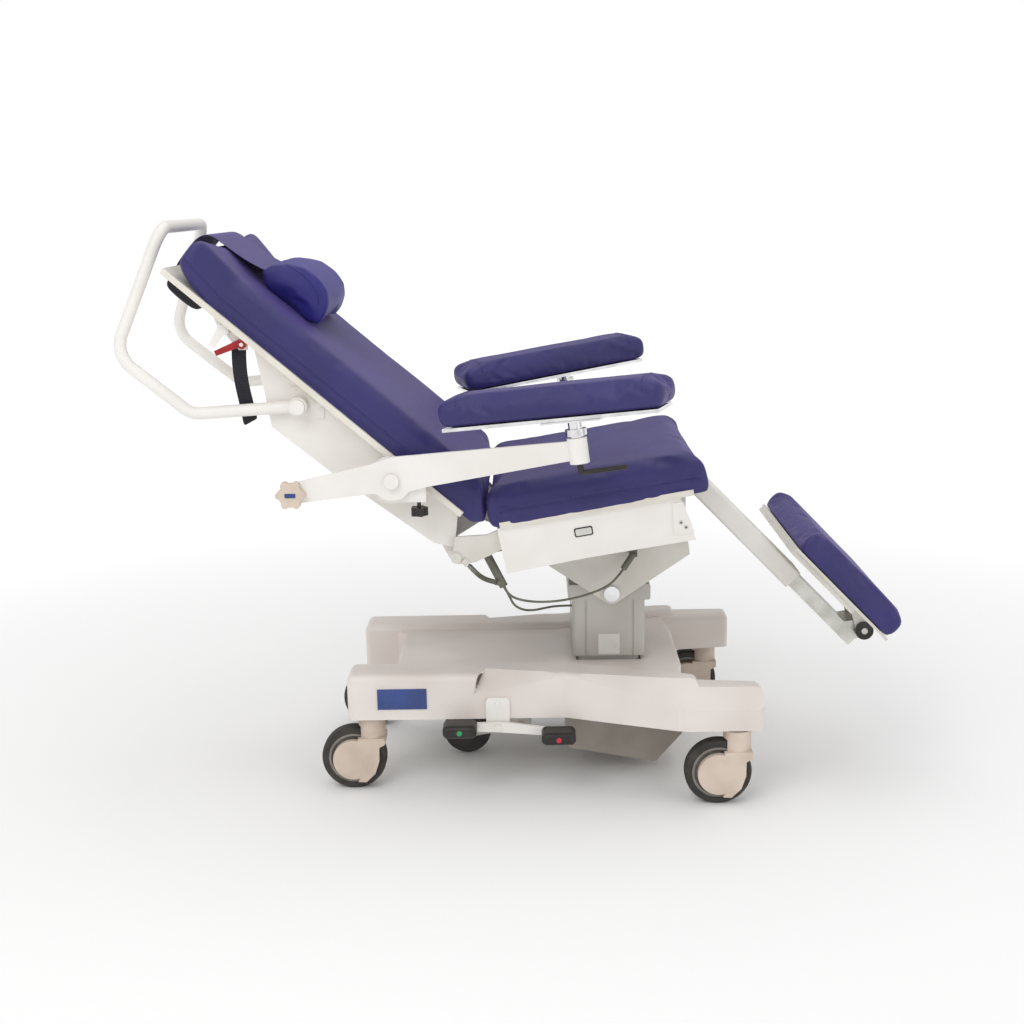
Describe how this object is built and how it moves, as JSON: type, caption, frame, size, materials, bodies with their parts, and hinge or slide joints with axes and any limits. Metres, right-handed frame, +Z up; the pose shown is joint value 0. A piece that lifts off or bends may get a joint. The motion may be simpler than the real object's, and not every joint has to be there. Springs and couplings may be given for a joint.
{
  "type": "patient recliner chair",
  "caption": "Powered patient recliner: padded seat, back and calf rest on a lifting column, splayed armrests, push bar, foot pedals and a castor base.",
  "frame": {"origin": "on the floor, under the middle of the bounding box", "axes": "+X to the foot end, +Y to the far side from the pedals, +Z up"},
  "size_m": [1.6088, 0.961, 1.2155],
  "materials": {
    "cover_abs": "smooth moulded",
    "frame_steel": "powder coated",
    "white_paint": "powder coated",
    "column_aluminium": "satin anodised",
    "upholstery": "soft vinyl",
    "board": "plain ply",
    "bright_steel": "polished",
    "black_plastic": "moulded",
    "box_plastic": "moulded",
    "knob_plastic": "moulded",
    "badge_plastic": "smooth",
    "red_plastic": "smooth",
    "wheel_rubber": "worn",
    "strap_fabric": "woven",
    "cable_pvc": "smooth"
  },
  "bodies": {
    "base": {"base_cover": "cover_abs", "base_chassis": "frame_steel", "battery_box": "box_plastic", "rail_badge": "badge_plastic", "column_inner": "column_aluminium", "lift_actuator": "black_plastic", "pedal_bracket": "white_paint"},
    "column_stage": {"column_middle": "column_aluminium"},
    "lift": {"column_sleeve": "column_aluminium", "column_head": "column_aluminium", "tilt_pin": "bright_steel"},
    "seat": {"seat_frame": "frame_steel", "tilt_bracket": "frame_steel", "seat_board": "board", "seat_cushion": "upholstery", "side_covers": "white_paint", "actuators": "black_plastic", "cable_sleeve": "cable_pvc", "seat_cable": "cable_pvc", "curly_cord": "cable_pvc", "column_cable": "cable_pvc"},
    "back": {"back_tray": "white_paint", "back_board": "board", "back_cushion": "upholstery", "head_straps": "strap_fabric", "back_brackets": "white_paint"},
    "head_roll": {"pillow": "upholstery"},
    "handle": {"push_handle": "white_paint"},
    "recline_lever": {"release_lever": "red_plastic"},
    "paddle": {"paddle_lever": "white_paint"},
    "back_rod": {"back_actuator_rod": "bright_steel"},
    "leg_rod": {"leg_actuator_rod": "bright_steel"},
    "leg": {"leg_tube": "white_paint"},
    "leg_extension": {"leg_slide": "bright_steel"},
    "calf": {"calf_tray": "white_paint", "calf_discs": "black_plastic", "calf_pad": "upholstery"},
    "pedals": {"pedal_rocker": "black_plastic"},
    "steering": {"steering_arm": "frame_steel"},
    "steering_roller": {"steering_wheel": "wheel_rubber"},
    "arm_near": {"arm_bar_near": "white_paint"},
    "rest_near": {"armrest_post_near": "bright_steel", "armrest_pad_near": "upholstery"},
    "clamp_near": {"arm_lever_near": "black_plastic"},
    "star_near": {"star_knob_near": "black_plastic"},
    "tail_near": {"tail_knob_near": "knob_plastic"},
    "arm_far": {"arm_bar_far": "white_paint"},
    "rest_far": {"armrest_post_far": "bright_steel", "armrest_pad_far": "upholstery"},
    "clamp_far": {"arm_lever_far": "black_plastic"},
    "star_far": {"star_knob_far": "black_plastic"},
    "tail_far": {"tail_knob_far": "knob_plastic"},
    "castor_rear_near": {"castor_fork_rear_near": "knob_plastic"},
    "wheel_rear_near": {"castor_wheel_rear_near": "wheel_rubber"},
    "castor_rear_far": {"castor_fork_rear_far": "knob_plastic"},
    "wheel_rear_far": {"castor_wheel_rear_far": "wheel_rubber"},
    "castor_front_near": {"castor_fork_front_near": "knob_plastic"},
    "wheel_front_near": {"castor_wheel_front_near": "wheel_rubber"},
    "castor_front_far": {"castor_fork_front_far": "knob_plastic"},
    "wheel_front_far": {"castor_wheel_front_far": "wheel_rubber"}
  },
  "joints": [
    {"name": "column_lift", "type": "slide", "parent": "base", "child": "column_stage", "axis": [0, 0, 1], "range_m": [0, 0.085]},
    {"name": "column_lift_upper", "type": "slide", "parent": "column_stage", "child": "lift", "axis": [0, 0, 1], "range_m": [0, 0.085]},
    {"name": "seat_tilt", "type": "hinge", "parent": "lift", "child": "seat", "pos_m": [0.19652, 0, 0.406], "axis": [0, 1, 0], "range_deg": [-12, 9], "deforming": ["column_cable"]},
    {"name": "back_recline", "type": "hinge", "parent": "seat", "child": "back", "pos_m": [-0.07648, 0, 0.592], "axis": [0, 1, 0], "range_deg": [-45, 25]},
    {"name": "head_roll_slide", "type": "slide", "parent": "back", "child": "head_roll", "axis": [-0.7547, 0, 0.6561], "range_m": [-0.06, 0.03]},
    {"name": "handle_fold", "type": "hinge", "parent": "back", "child": "handle", "pos_m": [-0.43948, 0, 0.846], "axis": [0, 1, 0], "range_deg": [-60, 0]},
    {"name": "release_lever_pull", "type": "hinge", "parent": "back", "child": "recline_lever", "pos_m": [-0.54648, 0, 0.972], "axis": [0, 1, 0], "range_deg": [-15, 5]},
    {"name": "paddle_pull", "type": "hinge", "parent": "back", "child": "paddle", "pos_m": [-0.57848, 0, 0.999], "axis": [0, 1, 0], "range_deg": [-8, 15]},
    {"name": "back_drive", "type": "slide", "parent": "seat", "child": "back_rod", "axis": [-0.9877, 0, -0.1564], "range_m": [-0.05, 0.03]},
    {"name": "leg_drive", "type": "slide", "parent": "seat", "child": "leg_rod", "axis": [0.9877, 0, 0.1564], "range_m": [-0.012, 0.04]},
    {"name": "leg_lift", "type": "hinge", "parent": "seat", "child": "leg", "pos_m": [0.37852, 0, 0.64], "axis": [0, -1, 0], "range_deg": [-15, 55]},
    {"name": "leg_extend", "type": "slide", "parent": "leg", "child": "leg_extension", "axis": [0.6947, 0, -0.7193], "range_m": [0, 0.1]},
    {"name": "calf_fold", "type": "hinge", "parent": "leg_extension", "child": "calf", "pos_m": [0.76141, 0, 0.29173], "axis": [0, 1, 0], "range_deg": [-3, 35]},
    {"name": "pedal_rock", "type": "hinge", "parent": "base", "child": "pedals", "pos_m": [-0.05248, -0.24, 0.15], "axis": [0, 1, 0], "range_deg": [-10, 0]},
    {"name": "steering_lift", "type": "hinge", "parent": "base", "child": "steering", "pos_m": [-0.00648, 0, 0.078], "axis": [0, 1, 0], "range_deg": [0, 10]},
    {"name": "steering_spin", "type": "hinge", "parent": "steering", "child": "steering_roller", "pos_m": [-0.12948, 0, 0.056], "axis": [0, 1, 0], "continuous": true},
    {"name": "arm_fold_near", "type": "hinge", "parent": "back", "child": "arm_near", "pos_m": [-0.25148, -0.316, 0.701], "axis": [0, -1, 0], "range_deg": [-12, 40]},
    {"name": "pad_swivel_near", "type": "hinge", "parent": "arm_near", "child": "rest_near", "pos_m": [0.11852, -0.395, 0.77], "axis": [-0.1165, 0.0413, 0.9923], "range_deg": [-5, 40]},
    {"name": "clamp_turn_near", "type": "hinge", "parent": "arm_near", "child": "clamp_near", "pos_m": [0.11852, -0.395, 0.77], "axis": [-0.1165, 0.0413, 0.9923], "range_deg": [-35, 35]},
    {"name": "star_turn_near", "type": "hinge", "parent": "back", "child": "star_near", "pos_m": [-0.19948, -0.303, 0.64], "axis": [0, 0, 1], "range_deg": [0, 350]},
    {"name": "tail_turn_near", "type": "hinge", "parent": "arm_near", "child": "tail_near", "pos_m": [-0.45248, -0.33, 0.678], "axis": [0, 1, 0], "range_deg": [0, 350]},
    {"name": "arm_fold_far", "type": "hinge", "parent": "back", "child": "arm_far", "pos_m": [-0.25148, 0.316, 0.701], "axis": [0, -1, 0], "range_deg": [-12, 40]},
    {"name": "pad_swivel_far", "type": "hinge", "parent": "arm_far", "child": "rest_far", "pos_m": [0.11852, 0.395, 0.77], "axis": [0.1165, 0.0413, -0.9923], "range_deg": [-5, 40]},
    {"name": "clamp_turn_far", "type": "hinge", "parent": "arm_far", "child": "clamp_far", "pos_m": [0.11852, 0.395, 0.77], "axis": [0.1165, 0.0413, -0.9923], "range_deg": [-35, 35]},
    {"name": "star_turn_far", "type": "hinge", "parent": "back", "child": "star_far", "pos_m": [-0.19948, 0.303, 0.64], "axis": [0, 0, 1], "range_deg": [0, 350]},
    {"name": "tail_turn_far", "type": "hinge", "parent": "arm_far", "child": "tail_far", "pos_m": [-0.45248, 0.33, 0.678], "axis": [0, 1, 0], "range_deg": [0, 350]},
    {"name": "castor_swivel_rear_near", "type": "hinge", "parent": "base", "child": "castor_rear_near", "pos_m": [-0.32648, -0.19, 0.16], "axis": [0, 0, 1], "continuous": true},
    {"name": "wheel_spin_rear_near", "type": "hinge", "parent": "castor_rear_near", "child": "wheel_rear_near", "pos_m": [-0.36648, -0.19, 0.07], "axis": [0, 1, 0], "continuous": true},
    {"name": "castor_swivel_rear_far", "type": "hinge", "parent": "base", "child": "castor_rear_far", "pos_m": [-0.32648, 0.19, 0.16], "axis": [0, 0, 1], "continuous": true},
    {"name": "wheel_spin_rear_far", "type": "hinge", "parent": "castor_rear_far", "child": "wheel_rear_far", "pos_m": [-0.36648, 0.19, 0.07], "axis": [0, 1, 0], "continuous": true},
    {"name": "castor_swivel_front_near", "type": "hinge", "parent": "base", "child": "castor_front_near", "pos_m": [0.44652, -0.298, 0.16], "axis": [0, 0, 1], "continuous": true},
    {"name": "wheel_spin_front_near", "type": "hinge", "parent": "castor_front_near", "child": "wheel_front_near", "pos_m": [0.40652, -0.298, 0.07], "axis": [0, 1, 0], "continuous": true},
    {"name": "castor_swivel_front_far", "type": "hinge", "parent": "base", "child": "castor_front_far", "pos_m": [0.44652, 0.298, 0.16], "axis": [0, 0, 1], "continuous": true},
    {"name": "wheel_spin_front_far", "type": "hinge", "parent": "castor_front_far", "child": "wheel_front_far", "pos_m": [0.40652, 0.298, 0.07], "axis": [0, 1, 0], "continuous": true}
  ],
  "couplings": [
    {"joint": "column_lift_upper", "follows": "column_lift", "ratio": 1},
    {"joint": "back_drive", "follows": "back_recline", "m_per_rad": 0.0586},
    {"joint": "leg_drive", "follows": "leg_lift", "m_per_rad": 0.0379},
    {"joint": "steering_lift", "follows": "pedal_rock", "ratio": -1}
  ]
}
